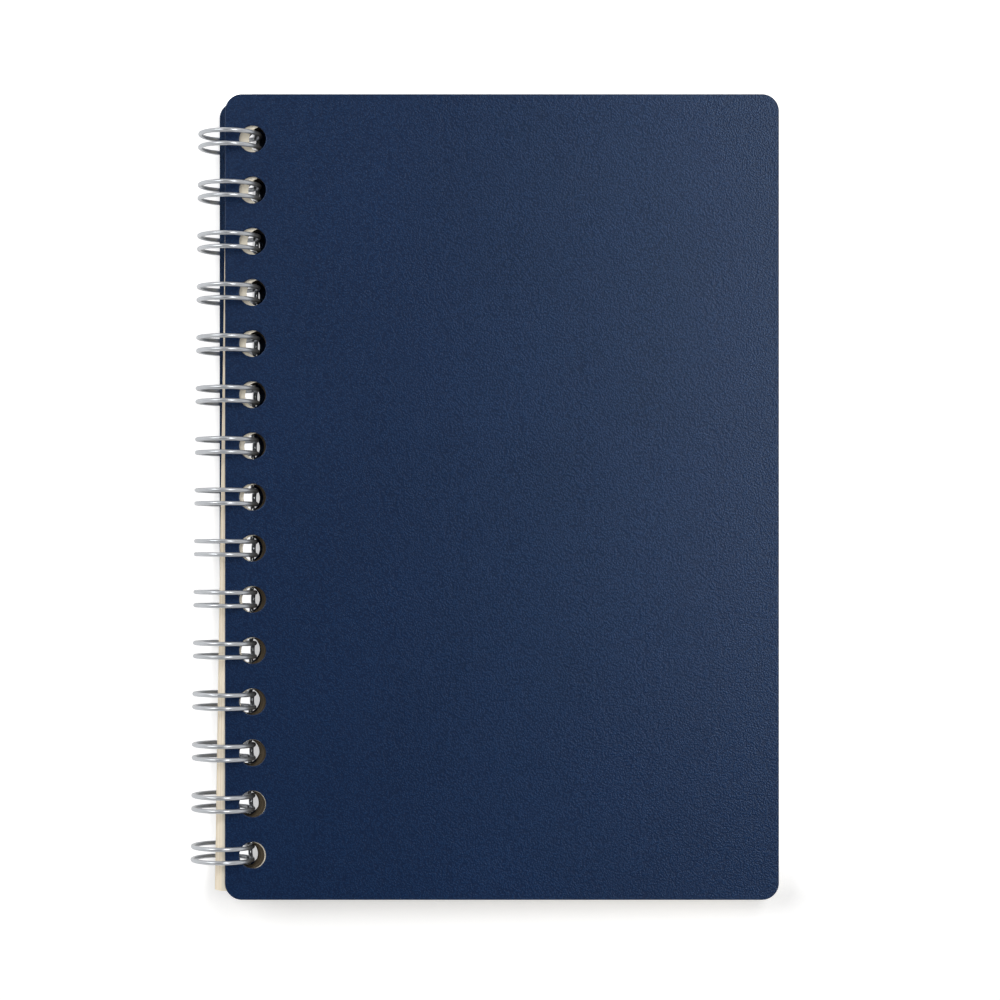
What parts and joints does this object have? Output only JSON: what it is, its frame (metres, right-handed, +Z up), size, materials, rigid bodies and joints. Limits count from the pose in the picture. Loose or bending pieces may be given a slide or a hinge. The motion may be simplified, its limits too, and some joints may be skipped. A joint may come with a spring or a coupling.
{
  "type": "wire bound notebook",
  "caption": "Closed notebook with navy leather-grain covers and cream pages, bound along one long side by a silver twin-loop wire, lying on its back.",
  "frame": {"origin": "on the table, under the middle of the whole outline", "axes": "+Z up, +Y along the spine from foot to head, +X from the spine to the fore edge"},
  "size_m": [0.1466, 0.2, 0.016],
  "materials": {
    "cover_board": "navy coated board with a fine embossed leather grain, satin",
    "pages": "uncoated cream writing paper, cut edges showing as fine lines",
    "wire": "silver nylon-coated steel wire, satin"
  },
  "bodies": {
    "bound_pages": {"page_block": "pages", "twin_loop_wire": "wire"},
    "front_cover": {"front_cover": "cover_board"},
    "back_cover": {"back_cover": "cover_board"}
  },
  "joints": [
    {"name": "front_cover_hinge", "type": "hinge", "parent": "bound_pages", "child": "front_cover", "pos_m": [-0.06438, 0, 0.008], "axis": [-0.0105, -0.9999, 0], "range_deg": [0, 182.9]},
    {"name": "back_cover_hinge", "type": "hinge", "parent": "bound_pages", "child": "back_cover", "pos_m": [-0.06438, 0, 0.008], "axis": [0.0105, 0.9999, 0], "range_deg": [0, 180]}
  ]
}
